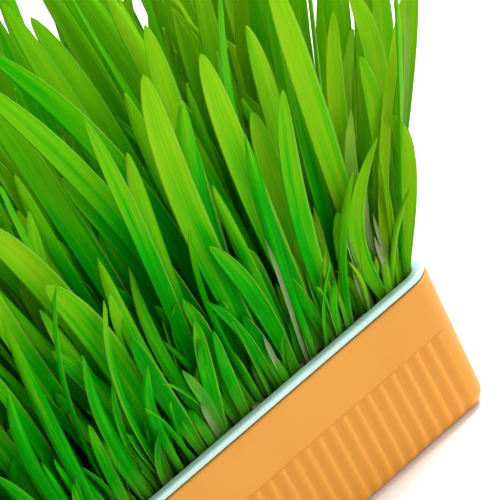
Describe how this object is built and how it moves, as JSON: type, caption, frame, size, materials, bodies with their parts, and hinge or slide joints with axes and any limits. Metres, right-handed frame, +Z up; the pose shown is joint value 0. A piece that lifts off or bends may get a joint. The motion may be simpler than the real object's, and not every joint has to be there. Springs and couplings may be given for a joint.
{
  "type": "wheatgrass tray",
  "caption": "Rectangular fluted plastic tub with a thin liner, filled with growing medium and a dense stand of tall wheatgrass blades that fan out over its rim.",
  "frame": {"origin": "centre of the tub's flat underside", "axes": "+X along the tub's length, +Y across it, +Z up"},
  "size_m": [0.3378, 0.1384, 0.1803],
  "materials": {
    "tub_plastic": "satin moulded orange plastic",
    "liner_plastic": "milky, slightly aqua thin plastic",
    "growing_medium": "dark damp fibrous soil",
    "grass": "fresh green leaf blades with fine lengthwise veins"
  },
  "bodies": {
    "root": {"tub": "tub_plastic", "liner": "liner_plastic", "growing_medium": "growing_medium", "grass_tuft_01": "grass", "grass_tuft_02": "grass", "grass_tuft_03": "grass", "grass_tuft_04": "grass", "grass_tuft_05": "grass", "grass_tuft_06": "grass", "grass_tuft_07": "grass", "grass_tuft_08": "grass", "grass_tuft_09": "grass", "grass_tuft_10": "grass", "grass_tuft_11": "grass", "grass_tuft_12": "grass", "grass_tuft_13": "grass", "grass_tuft_14": "grass", "grass_tuft_15": "grass", "grass_tuft_16": "grass", "grass_tuft_17": "grass", "grass_tuft_18": "grass", "grass_tuft_19": "grass", "grass_tuft_20": "grass", "grass_tuft_21": "grass", "grass_tuft_22": "grass", "grass_tuft_23": "grass", "grass_tuft_24": "grass", "grass_tuft_25": "grass", "grass_tuft_26": "grass", "grass_tuft_27": "grass", "grass_tuft_28": "grass", "grass_tuft_29": "grass", "grass_tuft_30": "grass", "grass_tuft_31": "grass", "grass_tuft_32": "grass", "grass_tuft_33": "grass", "grass_tuft_34": "grass", "grass_tuft_35": "grass", "grass_tuft_36": "grass"}
  },
  "joints": []
}
